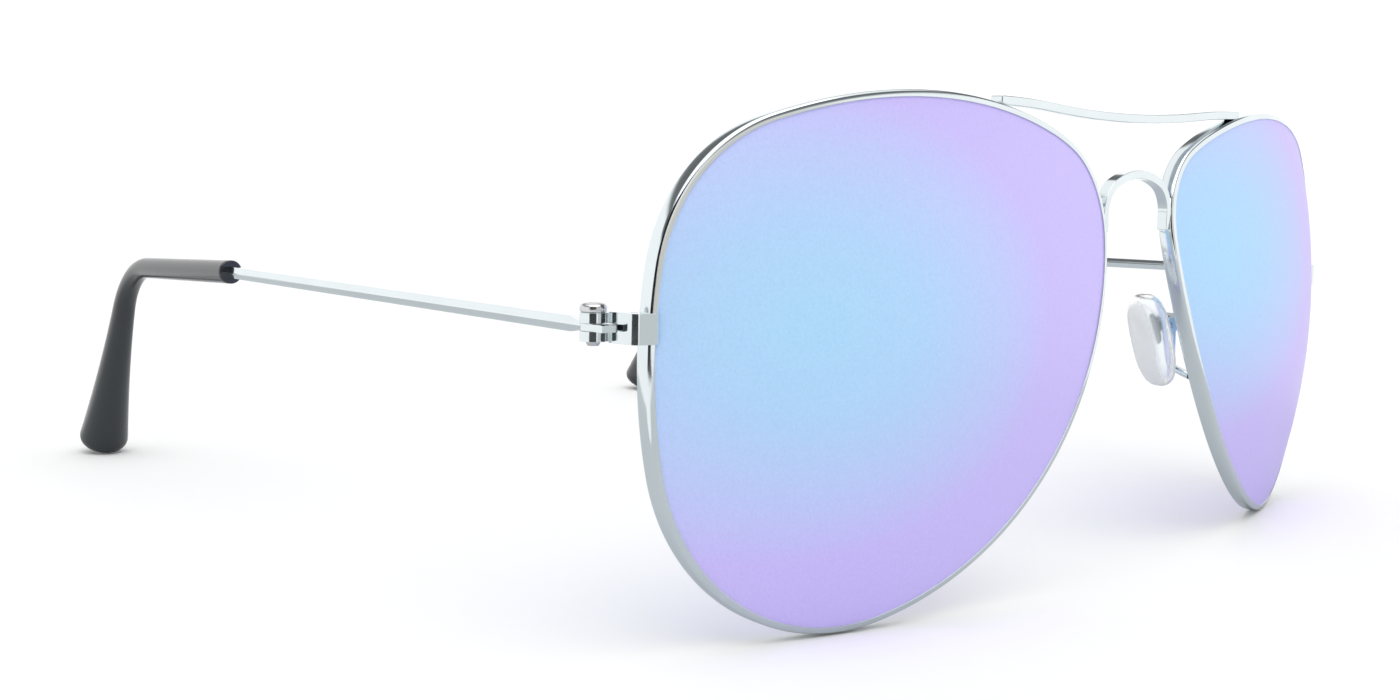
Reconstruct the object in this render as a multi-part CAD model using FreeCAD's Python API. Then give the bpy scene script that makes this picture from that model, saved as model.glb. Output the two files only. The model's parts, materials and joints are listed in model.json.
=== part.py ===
"""Aviator sunglasses with wire frames, a double bridge, folding temples and rocking nose pads.

Millimetres.  The lenses face -Y, the temples run towards +Y and +Z is up.  Everything is drawn in
the wearer's frame: X = 0 is the plane of symmetry, and Y = 0, Z = 0 is the middle of the lenses'
front faces.  The last step turns the glasses to stand on their rims and temple tips, with the
origin in the middle of their box, on the surface that they stand on.  The wearer's left is +X, and
each piece of the right side mirrors the left one.
"""
import FreeCAD, Part
import math
import os

V = FreeCAD.Vector

# Lenses: balls of one radius cut to the outline, which is drawn as arcs on the lens's own plane.
LENS_WIDTH = 58.0
LENS_HEIGHT = 49.8
LENS_RADIUS = 88.0
LENS_THICKNESS = 1.4
BRIDGE_WIDTH = 16.7  # between the two lenses
WRAP = 10.4  # degrees that each lens turns back towards its temple
# The outline runs anticlockwise, seen from the front of the left lens, from the bottom and up the
# temple side.  A heading is the direction of travel: 90 is straight up.
OUTLINE_HEADINGS = (-13, 77, 101, 163, 198, 206, 274, 283, 347)
OUTLINE_RADII = (20.6, 43.7, 17.0, 60.0, 30.7, 9.5, 25.5, 42.0)

# Rims: channel section wire round each lens, split at the temple side.
RIM_WALL = 0.7
RIM_LIP = 0.15
GROOVE_DEPTH = 0.4
GROOVE_SHOULDER = 0.4
LENS_CLEARANCE = 0.02
RIM_SPLIT = 0.2

# Bridge: a flat bar bent to an arch between the rims.
BRIDGE_TOP = 18.35
BRIDGE_BOTTOM = 11.8
BRIDGE_THICKNESS = 0.9
BRIDGE_DEPTH = 1.2
BRIDGE_SETBACK = 0.35
CROWN_RADIUS = 12.0
SHOULDER_RADIUS = 4.0
SOLDER_SINK = 0.1

# Brow bar: a bar that lies on the tops of both rims and sags between them.
BAR_REACH = 16.85  # of each end past the lens's nasal edge
BAR_HEIGHT = 0.95
BAR_DEPTH = 1.4
BAR_FOOT = 9.5
BAR_FOOT_RADIUS = 115.0
BAR_MIDDLE_RADIUS = 190.0
BAR_SINK = 0.04

# Endpieces: straps that wrap from the rim's face to the hinge, where they roll into two knuckles.
HINGE_RISE = 4.13
HINGE_BACK = 14.5
HINGE_OUT = 3.15  # of the hinge's axis past the rim's outermost point
STRAP_THICKNESS = 0.5
STRAP_HEIGHT = 2.7
STRAP_BEND = 1.1
FLANGE_ANGLE = 18.0
FLANGE_OVERLAP = 0.75
FLANGE_TAPER = 0.35
FLANGE_EDGE = 0.2  # thickness left where the taper ends
KNUCKLE_RADIUS = 1.2
KNUCKLE_HEIGHT = 0.9
KNUCKLE_GAP = 0.7
SLOT_REACH = 1.6
SCREW_RADIUS = 0.7
SCREW_CLEARANCE = 0.03
SCREW_HEAD_RADIUS = 1.2
SCREW_HEAD_HEIGHT = 0.8
SCREW_HEAD_EASE = 0.12
SCREW_END = 0.4
DRIVER_SLOT = 0.35

# Closing blocks: two halves brazed to the rim's split, pulled together by the rim screw, whose
# head is let into the lower half.
BLOCK_HEIGHT = 1.25
BLOCK_DEPTH = 1.9
RIM_SCREW_RADIUS = 0.35
RIM_SCREW_HEAD = 0.55
RIM_SCREW_HEAD_HEIGHT = 0.4

# Temples: six-sided wire with a flat eye and a stop tongue, and a round core inside the tip.
TEMPLE_SPLAY = 7.4  # degrees that each opened temple turns in towards the head
TEMPLE_STRAIGHT = 74.4
TEMPLE_HEIGHT = 1.35
TEMPLE_WIDTH = 1.15
TEMPLE_FLAT = 0.6
EYE_THICKNESS = 0.62
EYE_RADIUS = 1.15
NECK_START = 1.45
NECK_END = 3.1
TONGUE_REACH = 2.55
TONGUE_WIDTH = 0.9
TONGUE_CLEARANCE = 0.05
CORE_RADIUS = 0.55
CORE_SHORT = 5.0

# Temple tips: moulded sleeves that bend down behind the ear and swell towards the end.
TIP_START = 74.0
TIP_CORNER = (105.8, -1.35)  # along the temple and above the hinge, where the two runs meet
TIP_END = (117.3, -27.0)
TIP_BEND = 10.0
TIP_RADII = (1.4, 1.3, 3.45)
TIP_ROUNDING = 1.9
MOUTH_RADIUS = 0.95
MOUTH_DEPTH = 0.6

# Nose pads: soft ovals on a core plate, each held to its arm by a cross screw.
# The pad's middle lies this far out, back and up from the lens's nasal edge.
PAD_OUTSET = 1.71
PAD_BACK = 4.12
PAD_RISE = -1.0
PAD_SPLAY = 16.0
PAD_TILT = 18.0
PAD_LENGTH = 11.2
PAD_WIDTH = 5.6
PAD_THICKNESS = 2.4
PAD_EDGE = 0.9
PAD_CORE_RISE = 1.0
PAD_CORE_LENGTH = 3.8
PAD_CORE_WIDTH = 2.4
PAD_CORE_THICKNESS = 0.6
LUG_THICKNESS = 1.0
LUG_RADIUS = 0.7
LUG_CLEARANCE = 0.05
PIVOT_BEHIND = 1.15
BOX_WALL = 0.5
BOX_FLOOR = 0.9
BOX_HEIGHT = 1.7
BOX_GAP = 0.4
PAD_SCREW_RADIUS = 0.35
PAD_SCREW_HEAD = 0.55
PAD_SCREW_HEAD_HEIGHT = 0.3
PAD_ARM_RADIUS = 0.42
PAD_ARM_HEADING = 301.0
PAD_ARM_BACK = 3.1
PAD_ARM_BEND = 0.9
PAD_ARM_OUT = 0.2


def turned(heading):
    """Unit vector from an arc's centre to the point where the outline has this heading."""
    angle = math.radians(heading)
    return math.sin(angle), -math.cos(angle)


def solve(rows, values):
    """Solve a small set of linear equations by elimination."""
    size = len(values)
    table = [list(row) + [value] for row, value in zip(rows, values)]
    for column in range(size):
        best = max(range(column, size), key=lambda line: abs(table[line][column]))
        table[column], table[best] = table[best], table[column]
        for line in range(size):
            if line != column:
                share = table[line][column] / table[column][column]
                table[line] = [a - share * b for a, b in zip(table[line], table[column])]
    return [table[line][size] / table[line][line] for line in range(size)]


def outline_arcs():
    """Arcs as (centre u, centre v, radius, first heading, last heading), centred on the box.

    The radii are moved as little as possible from those above to close the outline and to give it
    exactly the lens's width and height.
    """
    spans = list(zip(OUTLINE_HEADINGS[:-1], OUTLINE_HEADINGS[1:]))

    def travel(span, low, high, axis):
        first = max(span[0], low)
        last = min(span[1], high)
        return turned(last)[axis] - turned(first)[axis] if last > first else 0.0

    across = [travel(span, -90, 90, 0) + travel(span, 270, 450, 0) for span in spans]
    rows = [
        [travel(span, -90, 450, 0) for span in spans],
        [travel(span, -90, 450, 1) for span in spans],
        across,
        [travel(span, 0, 180, 1) for span in spans],
    ]
    target = (0.0, 0.0, LENS_WIDTH, LENS_HEIGHT)
    weights = [radius**2 for radius in OUTLINE_RADII]
    matrix = [[sum(w * a * b for w, a, b in zip(weights, p, q)) for q in rows] for p in rows]
    short = [t - sum(a * r for a, r in zip(p, OUTLINE_RADII)) for t, p in zip(target, rows)]
    factors = solve(matrix, short)
    radii = [
        radius + weight * sum(f * p[i] for f, p in zip(factors, rows))
        for i, (radius, weight) in enumerate(zip(OUTLINE_RADII, weights))
    ]
    arcs = []
    u = v = 0.0
    for i, (first, last) in enumerate(spans):
        if i:
            du, dv = turned(first)
            u += (radii[i - 1] - radii[i]) * du
            v += (radii[i - 1] - radii[i]) * dv
        arcs.append((u, v, radii[i], first, last))
    shift_u = sum(extreme(arcs, heading)[0] for heading in (90, 270)) / 2
    shift_v = sum(extreme(arcs, heading)[1] for heading in (0, 180)) / 2
    return [(u - shift_u, v - shift_v, radius, first, last) for u, v, radius, first, last in arcs]


def extreme(arcs, heading, offset=0.0):
    """The point of the outline with this heading, moved outwards by the offset."""
    for u, v, radius, first, last in arcs:
        if first <= heading <= last:
            du, dv = turned(heading)
            return u + (radius + offset) * du, v + (radius + offset) * dv
    raise ValueError("no arc has this heading")


ARCS = outline_arcs()
HALF_PITCH = (LENS_WIDTH + BRIDGE_WIDTH) / 2
WRAP_COS = math.cos(math.radians(WRAP))
WRAP_SIN = math.sin(math.radians(WRAP))
LENS_PLACE = FreeCAD.Placement(
    V(HALF_PITCH, 0, 0),
    FreeCAD.Rotation(V(WRAP_COS, WRAP_SIN, 0), V(0, 0, 1), V(WRAP_SIN, -WRAP_COS, 0), "ZXY"),
)


def on_lens(u, v, forward=0.0):
    """A point over the left lens's front face, in the wearer's frame."""
    sag = LENS_RADIUS - math.sqrt(LENS_RADIUS**2 - u * u - v * v)
    return LENS_PLACE.multVec(V(u, v, forward - sag))


def prism(offset):
    """The outline, moved outwards by the offset, as a long prism along the lens's axis."""
    edges = []
    for u, v, radius, first, last in ARCS:
        points = []
        for heading in (first, (first + last) / 2, last):
            du, dv = turned(heading)
            points.append(V(u + (radius + offset) * du, v + (radius + offset) * dv, -LENS_RADIUS / 2))
        edges.append(Part.Arc(*points).toShape())
    return Part.Face(Part.Wire(edges)).extrude(V(0, 0, LENS_RADIUS))


def shell(front, back):
    """The layer of the lens's ball from this far in front of its face to this far behind it."""
    centre = V(0, 0, -LENS_RADIUS)
    outer = Part.makeSphere(LENS_RADIUS + front, centre)
    return outer.cut(Part.makeSphere(LENS_RADIUS - back, centre))


def placed(shape, placement):
    shape = shape.copy()
    shape.Placement = placement.multiply(shape.Placement)
    return shape


def box_between(low, high):
    return Part.makeBox(high[0] - low[0], high[1] - low[1], high[2] - low[2], V(*low))


def bent_rod(points, bend, radii):
    """A round rod along straight runs joined by tangent arcs, with a radius given at each point."""
    pieces = []
    start = points[0]
    for i in range(1, len(points)):
        run = (points[i] - points[i - 1]).normalize()
        if i < len(points) - 1:
            following = (points[i + 1] - points[i]).normalize()
            turn = run.getAngle(following)
            reach = bend * math.tan(turn / 2)
            stop = points[i] - run * reach
            pieces.append(tapered(start, stop, radii[i - 1], radii[i]))
            axis = run.cross(following).normalize()
            centre = stop + axis.cross(run) * bend
            disc = Part.Face(Part.Wire(Part.makeCircle(radii[i], stop, run)))
            pieces.append(disc.revolve(centre, axis, math.degrees(turn)))
            start = points[i] + following * reach
        else:
            pieces.append(tapered(start, points[i], radii[i - 1], radii[i]))
    return pieces[0].multiFuse(pieces[1:])


def tapered(start, stop, first, last):
    run = stop - start
    if abs(first - last) < 1e-6:
        return Part.makeCylinder(first, run.Length, start, run)
    return Part.makeCone(first, last, run.Length, start, run)


def make_rim_and_lens():
    """The left rim, its lens, and the rim's outer form that other pieces are seated on."""
    depth = LENS_THICKNESS + RIM_LIP
    form = shell(RIM_LIP, depth).common(prism(RIM_WALL))
    opening = prism(0.0)
    groove_layer = shell(-GROOVE_SHOULDER, LENS_THICKNESS - GROOVE_SHOULDER)
    groove = groove_layer.common(prism(GROOVE_DEPTH))
    rim = placed(form.cut(opening).cut(groove), LENS_PLACE)
    low = on_lens(*extreme(ARCS, 90)) - V(RIM_WALL * 2, RIM_WALL * 4, 0)
    split = box_between(
        (low.x, low.y, HINGE_RISE - RIM_SPLIT / 2),
        (low.x + RIM_WALL * 6, low.y + RIM_WALL * 10, HINGE_RISE + RIM_SPLIT / 2),
    )
    body = shell(0.0, LENS_THICKNESS).common(prism(-LENS_CLEARANCE))
    tongue_layer = shell(
        -GROOVE_SHOULDER - LENS_CLEARANCE, LENS_THICKNESS - GROOVE_SHOULDER - LENS_CLEARANCE
    )
    lens = body.fuse(tongue_layer.common(prism(GROOVE_DEPTH)))
    return rim.cut(split), placed(lens, LENS_PLACE), placed(form, LENS_PLACE)


def seat(shape, *forms):
    """The shape without what the other forms fill, so that it lies against them."""
    for form in forms:
        shape = shape.cut(form)
    return max(shape.Solids, key=lambda solid: solid.Volume)


def rim_front(u, v):
    return on_lens(u, v, RIM_LIP)


def make_bridge(rim_forms):
    """An arch of flat bar whose legs are soldered to the rims' inner sides."""
    side = rim_front(*extreme(ARCS, 270, RIM_WALL))
    half = side.x + SOLDER_SINK
    front = side.y + BRIDGE_SETBACK
    shoulder_x = half - SHOULDER_RADIUS
    gap = CROWN_RADIUS - SHOULDER_RADIUS
    crown_z = BRIDGE_TOP - CROWN_RADIUS
    shoulder_z = crown_z + math.sqrt(gap**2 - shoulder_x**2)
    lean = math.atan2(shoulder_x, shoulder_z - crown_z)

    def arch(inset):
        crown = CROWN_RADIUS - inset
        shoulder = SHOULDER_RADIUS - inset

        def at(x, z, radius, angle):
            return V(x + radius * math.sin(angle), front, z + radius * math.cos(angle))

        right = [
            V(half - inset, front, BRIDGE_BOTTOM),
            V(half - inset, front, shoulder_z),
            at(shoulder_x, shoulder_z, shoulder, (lean + math.pi / 2) / 2),
            at(0, crown_z, crown, lean),
            V(0, front, crown_z + crown),
        ]
        left = [V(-point.x, point.y, point.z) for point in right]
        return [
            Part.makeLine(right[0], right[1]),
            Part.Arc(right[1], right[2], right[3]).toShape(),
            Part.Arc(right[3], right[4], left[3]).toShape(),
            Part.Arc(left[3], left[2], left[1]).toShape(),
            Part.makeLine(left[1], left[0]),
        ]

    outer = arch(0.0)
    inner = arch(BRIDGE_THICKNESS)
    feet = [
        Part.makeLine(V(sign * half, front, BRIDGE_BOTTOM),
                      V(sign * (half - BRIDGE_THICKNESS), front, BRIDGE_BOTTOM))
        for sign in (1, -1)
    ]
    wire = Part.Wire(Part.__sortEdges__(outer + inner + feet))
    return seat(Part.Face(wire).extrude(V(0, BRIDGE_DEPTH, 0)), *rim_forms)


def make_brow_bar(rim_forms):
    """A bar whose ends lie on the rims' tops and whose middle sags between them."""
    half_length = BRIDGE_WIDTH / 2 + BAR_REACH
    u = (half_length - HALF_PITCH) / WRAP_COS
    top = max(
        v + math.sqrt((radius + RIM_WALL) ** 2 - (u - centre) ** 2)
        for centre, v, radius, first, last in ARCS
        if extreme(ARCS, last)[0] <= u <= extreme(ARCS, first)[0] and first >= 90
    )
    end_z = top + BAR_HEIGHT / 2 - BAR_SINK
    front = rim_front(u, top).y + RIM_LIP
    joint_x = half_length - BAR_FOOT
    slope = math.asin(joint_x / BAR_MIDDLE_RADIUS)
    last = math.asin(math.sin(slope) - BAR_FOOT / BAR_FOOT_RADIUS)
    middle_slope = (slope + last) / 2
    foot_z = end_z - BAR_FOOT_RADIUS * math.cos(last)
    joint_z = foot_z + BAR_FOOT_RADIUS * math.cos(slope)
    foot_x = joint_x + BAR_FOOT_RADIUS * math.sin(slope)
    middle_z = joint_z + BAR_MIDDLE_RADIUS * math.cos(slope)

    def edge(rise):
        foot = BAR_FOOT_RADIUS + rise
        middle = BAR_MIDDLE_RADIUS - rise

        def on_foot(angle):
            return V(foot_x - foot * math.sin(angle), front, foot_z + foot * math.cos(angle))

        right = [on_foot(last), on_foot(middle_slope), on_foot(slope)]
        left = [V(-point.x, point.y, point.z) for point in right]
        low = V(0, front, middle_z - middle)
        return right, left, low

    def arcs(points):
        right, left, low = points
        return [
            Part.Arc(*right).toShape(),
            Part.Arc(right[2], low, left[2]).toShape(),
            Part.Arc(*reversed(left)).toShape(),
        ]

    upper = edge(BAR_HEIGHT / 2)
    lower = edge(-BAR_HEIGHT / 2)
    ends = [Part.makeLine(upper[i][0], lower[i][0]) for i in (0, 1)]
    wire = Part.Wire(Part.__sortEdges__(arcs(upper) + arcs(lower) + ends))
    return seat(Part.Face(wire).extrude(V(0, BAR_DEPTH, 0)), *rim_forms)


def hinge_axis():
    """The left hinge's centre, between its knuckles."""
    side = on_lens(*extreme(ARCS, 90, RIM_WALL))
    return V(side.x + HINGE_OUT - RIM_WALL, HINGE_BACK, HINGE_RISE)


def make_endpiece(rim_form):
    """The strap: a flange on the rim's face, a bend, a side and two rolled knuckles."""
    hinge = hinge_axis()
    inner_x = hinge.x - KNUCKLE_RADIUS
    outer_x = inner_x + STRAP_THICKNESS
    edge_u = extreme(ARCS, 90)[0]
    rim_corner = rim_front(edge_u + RIM_WALL / 2, HINGE_RISE)
    angle = math.radians(FLANGE_ANGLE)
    along = V(math.cos(angle), math.sin(angle), 0)
    out = V(math.sin(angle), -math.cos(angle), 0)
    flange_inner = rim_corner - along * FLANGE_OVERLAP
    flange_outer = flange_inner + out * STRAP_THICKNESS
    corner = flange_outer + along * ((outer_x - flange_outer.x) / along.x)
    turn = math.pi / 2 - angle
    reach = STRAP_BEND * math.tan(turn / 2)
    bend_start = corner - along * reach
    bend_end = corner + V(0, reach, 0)
    bend_centre = bend_end - V(STRAP_BEND, 0, 0)
    inner_bend = STRAP_BEND - STRAP_THICKNESS
    middle = V(math.sin((angle + math.pi / 2) / 2), -math.cos((angle + math.pi / 2) / 2), 0)
    points = [
        flange_outer + along * FLANGE_TAPER,
        bend_start,
        bend_centre + middle * STRAP_BEND,
        bend_end,
        V(outer_x, hinge.y, 0),
        V(inner_x, hinge.y, 0),
        bend_centre + V(inner_bend, 0, 0),
        bend_centre + middle * inner_bend,
        bend_centre + out * inner_bend,
        flange_inner,
        flange_inner + out * FLANGE_EDGE,
    ]
    points = [V(point.x, point.y, hinge.z - STRAP_HEIGHT / 2) for point in points]
    edges = [
        Part.makeLine(points[0], points[1]),
        Part.Arc(points[1], points[2], points[3]).toShape(),
        Part.makeLine(points[3], points[4]),
        Part.makeLine(points[4], points[5]),
        Part.makeLine(points[5], points[6]),
        Part.Arc(points[6], points[7], points[8]).toShape(),
        Part.makeLine(points[8], points[9]),
        Part.makeLine(points[9], points[10]),
        Part.makeLine(points[10], points[0]),
    ]
    strap = Part.Face(Part.Wire(edges)).extrude(V(0, 0, STRAP_HEIGHT))
    stack = 2 * KNUCKLE_HEIGHT + KNUCKLE_GAP
    foot = V(hinge.x, hinge.y, hinge.z - stack / 2)
    band = box_between(
        (inner_x - 1, hinge.y - KNUCKLE_RADIUS, foot.z), (outer_x + 1, hinge.y + 1, foot.z + stack)
    )
    near_knuckle = strap.common(
        box_between((inner_x - 1, hinge.y - KNUCKLE_RADIUS, hinge.z - STRAP_HEIGHT),
                    (outer_x + 1, hinge.y + 1, hinge.z + STRAP_HEIGHT))
    )
    strap = strap.cut(near_knuckle).fuse(near_knuckle.common(band))
    strap = strap.fuse(Part.makeCylinder(KNUCKLE_RADIUS, stack, foot))
    bore = Part.makeCylinder(SCREW_RADIUS + SCREW_CLEARANCE, stack, foot)
    slot = box_between(
        (inner_x - 1, hinge.y - SLOT_REACH, hinge.z - KNUCKLE_GAP / 2),
        (hinge.x + KNUCKLE_RADIUS + 1, hinge.y + KNUCKLE_RADIUS + 1, hinge.z + KNUCKLE_GAP / 2),
    )
    return seat(strap.cut(bore).cut(slot), rim_form)


def make_closing_blocks(rim_form, endpiece):
    """The two halves of the closing block and the screw that pulls them together."""
    hinge = hinge_axis()
    wall = rim_front(extreme(ARCS, 90, RIM_WALL)[0], HINGE_RISE)
    high_x = hinge.x - KNUCKLE_RADIUS
    low_x = wall.x - RIM_WALL
    front = wall.y
    back = front + BLOCK_DEPTH
    half = RIM_SPLIT / 2 + BLOCK_HEIGHT
    centre = V((wall.x + high_x) / 2, (front + back) / 2, hinge.z)
    halves = []
    for low, high in ((RIM_SPLIT / 2, half), (-half, -RIM_SPLIT / 2)):
        block = box_between((low_x, front, hinge.z + low), (high_x, back, hinge.z + high))
        halves.append(seat(block, rim_form, endpiece))
    foot = centre - V(0, 0, half)
    head = Part.makeCylinder(RIM_SCREW_HEAD, RIM_SCREW_HEAD_HEIGHT, foot)
    screw = Part.makeCylinder(RIM_SCREW_RADIUS, 2 * half, foot).fuse(head)
    return [half_block.cut(screw) for half_block in halves], screw


def make_hinge_screw():
    """A slotted domed head with an eased lower edge, a shank through both knuckles and a chamfered end."""
    hinge = hinge_axis()
    half = KNUCKLE_HEIGHT + KNUCKLE_GAP / 2
    dome = SCREW_HEAD_HEIGHT / 2
    head = Part.makeCylinder(SCREW_HEAD_RADIUS, SCREW_HEAD_HEIGHT, hinge + V(0, 0, half))
    top = [edge for edge in head.Edges if edge.BoundBox.ZMin > hinge.z + half + dome]
    head = head.makeFillet(dome, top)
    rim = [edge for edge in head.Edges if edge.BoundBox.ZMax < hinge.z + half + SCREW_HEAD_EASE]
    head = head.makeChamfer(SCREW_HEAD_EASE, rim)
    slot = box_between(
        (hinge.x - DRIVER_SLOT / 2, hinge.y - SCREW_HEAD_RADIUS, hinge.z + half + dome),
        (hinge.x + DRIVER_SLOT / 2, hinge.y + SCREW_HEAD_RADIUS, hinge.z + half + 2 * dome),
    )
    shank = Part.makeCylinder(SCREW_RADIUS, 2 * half, hinge - V(0, 0, half))
    end = Part.makeCone(SCREW_RADIUS - SCREW_END / 2, SCREW_RADIUS, SCREW_END,
                        hinge - V(0, 0, half + SCREW_END))
    return head.cut(slot).fuse(shank).fuse(end)


def temple_place():
    """Along the temple, across it towards the head, and up, at the left hinge."""
    angle = math.radians(TEMPLE_SPLAY)
    along = V(-math.sin(angle), math.cos(angle), 0)
    inward = V(-math.cos(angle), -math.sin(angle), 0)
    return FreeCAD.Placement(hinge_axis(), FreeCAD.Rotation(along, inward, V(0, 0, 1), "ZXY"))


def tip_points(shorten=0.0):
    corner = V(TIP_CORNER[0], 0, TIP_CORNER[1])
    end = V(TIP_END[0], 0, TIP_END[1])
    run = (end - corner).normalize()
    slope = TIP_CORNER[1] / (TIP_CORNER[0] - TEMPLE_STRAIGHT)
    start = V(TIP_START, 0, slope * (TIP_START - TEMPLE_STRAIGHT))
    return [start, corner, end - run * shorten]


def make_temple():
    """Six-sided wire from the hinge's eye to the round core inside the tip."""
    half = TEMPLE_HEIGHT / 2
    flat = EYE_THICKNESS / 2
    profile = [
        (0, flat), (NECK_START, flat), (NECK_END, half), (TEMPLE_STRAIGHT, half),
        (TEMPLE_STRAIGHT, -half), (NECK_END, -half), (NECK_START, -flat), (0, -flat),
    ]
    side = Part.makePolygon([V(x, -TEMPLE_WIDTH, z) for x, z in profile + profile[:1]])
    blank = Part.Face(side).extrude(V(0, 2 * TEMPLE_WIDTH, 0))
    section = [
        (TEMPLE_WIDTH / 2, 0), (TEMPLE_FLAT / 2, half), (-TEMPLE_FLAT / 2, half),
        (-TEMPLE_WIDTH / 2, 0), (-TEMPLE_FLAT / 2, -half), (TEMPLE_FLAT / 2, -half),
    ]
    ring = Part.makePolygon([V(0, y, z) for y, z in section + section[:1]])
    wire = blank.common(Part.Face(ring).extrude(V(TEMPLE_STRAIGHT, 0, 0)))
    eye = Part.makeCylinder(EYE_RADIUS, EYE_THICKNESS, V(0, 0, -flat))
    strap_face = KNUCKLE_RADIUS - STRAP_THICKNESS
    tongue = box_between((-TONGUE_REACH, -TONGUE_WIDTH, -flat), (0, strap_face, flat))
    splay = FreeCAD.Placement(V(0, 0, 0), FreeCAD.Rotation(V(0, 0, 1), -TEMPLE_SPLAY))
    strap_side = box_between(
        (-2 * TONGUE_REACH, strap_face - TONGUE_CLEARANCE, -1), (-SLOT_REACH / 2, 3, 1)
    )
    tongue = tongue.cut(placed(strap_side, splay))
    core = bent_rod(tip_points(CORE_SHORT), TIP_BEND, [CORE_RADIUS] * 3)
    temple = wire.fuse(eye).fuse(tongue).fuse(core)
    temple = temple.cut(Part.makeCylinder(SCREW_RADIUS + SCREW_CLEARANCE, 2, V(0, 0, -1)))
    return placed(temple, temple_place())


def make_temple_tip(temple):
    """A sleeve that tapers up to its bend, then swells towards a rounded end."""
    points = tip_points()
    tip = bent_rod(points, TIP_BEND, TIP_RADII)
    end = [edge for edge in tip.Edges if (edge.CenterOfMass - points[2]).Length < TIP_ROUNDING / 10]
    tip = tip.makeFillet(TIP_ROUNDING, end)
    run = (points[1] - points[0]).normalize()
    mouth = Part.makeCone(MOUTH_RADIUS, CORE_RADIUS, MOUTH_DEPTH, points[0], run)
    return placed(tip.cut(mouth), temple_place()).cut(temple)


def pad_place():
    """Towards the nose, along the pad's width to the front, and up its length."""
    splay = math.radians(PAD_SPLAY)
    tilt = math.radians(PAD_TILT)
    inward = V(-math.cos(splay) * math.cos(tilt), math.sin(splay) * math.cos(tilt), -math.sin(tilt))
    across = V(0, 0, 1).cross(inward).normalize()
    up = inward.cross(across)
    centre = on_lens(-LENS_WIDTH / 2, 0) + V(PAD_OUTSET, PAD_BACK, PAD_RISE)
    return FreeCAD.Placement(centre, FreeCAD.Rotation(inward, across, up, "ZXY"))


def capsule(length, width, thickness, back, rise=0.0):
    """An upright slab with round ends, its back face at this x."""
    half = width / 2
    straight = (length - width) / 2
    middle = box_between((back, -half, rise - straight), (back + thickness, half, rise + straight))
    ends = [
        Part.makeCylinder(half, thickness, V(back, 0, rise + sign * straight), V(1, 0, 0))
        for sign in (1, -1)
    ]
    return middle.multiFuse(ends).removeSplitter()


def make_nose_pad():
    """The soft pad, its core plate with the lug, and the cross screw, in the pad's frame."""
    back = -PAD_THICKNESS / 2
    soft = capsule(PAD_LENGTH, PAD_WIDTH, PAD_THICKNESS, back)
    soft = soft.makeFillet(PAD_EDGE, [edge for edge in soft.Edges if abs(edge.BoundBox.XLength) < 1e-3])
    plate = capsule(
        PAD_CORE_LENGTH, PAD_CORE_WIDTH, PAD_CORE_THICKNESS, -PAD_CORE_THICKNESS / 2, PAD_CORE_RISE
    )
    pivot = pad_pivot()
    half = LUG_THICKNESS / 2
    lug = box_between(
        (pivot.x, -half, pivot.z - LUG_RADIUS), (0, half, pivot.z + LUG_RADIUS)
    )
    lug = lug.fuse(Part.makeCylinder(LUG_RADIUS, LUG_THICKNESS, pivot - V(0, half, 0), V(0, 1, 0)))
    core = plate.fuse(lug).removeSplitter()
    soft = soft.cut(core)
    bore = Part.makeCylinder(PAD_SCREW_RADIUS + SCREW_CLEARANCE, 4, pivot - V(0, 2, 0), V(0, 1, 0))
    return soft, core.cut(bore)


def pad_pivot():
    """The cross screw's middle, in the pad's frame."""
    return V(-PAD_THICKNESS / 2 - PIVOT_BEHIND, 0, PAD_CORE_RISE)


def box_half_width():
    return LUG_THICKNESS / 2 + LUG_CLEARANCE + BOX_WALL


def make_pad_screw():
    pivot = pad_pivot()
    half = box_half_width()
    side = V(0, half, 0)
    shank = Part.makeCylinder(PAD_SCREW_RADIUS, 2 * half, pivot - side, V(0, 1, 0))
    head = Part.makeCylinder(PAD_SCREW_HEAD, PAD_SCREW_HEAD_HEIGHT, pivot - side, V(0, -1, 0))
    return shank.fuse(head)


def make_pad_arm(rim_form):
    """A wire from the rim to the box whose cheeks hold the pad's lug."""
    place = pad_place()
    pivot = pad_pivot()
    half = box_half_width()
    floor = pivot.x - LUG_RADIUS - LUG_CLEARANCE
    cheek = LUG_THICKNESS / 2 + LUG_CLEARANCE
    low = pivot.z - BOX_HEIGHT / 2
    high = pivot.z + BOX_HEIGHT / 2
    mouth = -PAD_THICKNESS / 2 - BOX_GAP
    cup = box_between((floor - BOX_FLOOR, -half, low), (mouth, half, high))
    slot = box_between((floor, -cheek, low - 1), (0, cheek, high + 1))
    wall = extreme(ARCS, PAD_ARM_HEADING, RIM_WALL / 2)
    foot = on_lens(wall[0], wall[1], -LENS_THICKNESS)
    end = place.multVec(V(floor - BOX_FLOOR / 2, 0, pivot.z - BOX_HEIGHT / 4))
    knee = V(foot.x + PAD_ARM_OUT, PAD_ARM_BACK, foot.z + PAD_ARM_BEND)
    wire = bent_rod([foot, knee, end], PAD_ARM_BEND, [PAD_ARM_RADIUS] * 3)
    bore = Part.makeCylinder(PAD_SCREW_RADIUS, 2 * half, pivot - V(0, half, 0), V(0, 1, 0))
    arm = wire.fuse(placed(cup, place)).cut(placed(slot, place)).cut(placed(bore, place))
    return seat(arm, rim_form)


def mirrored(shape):
    return shape.mirror(V(0, 0, 0), V(1, 0, 0))


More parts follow.
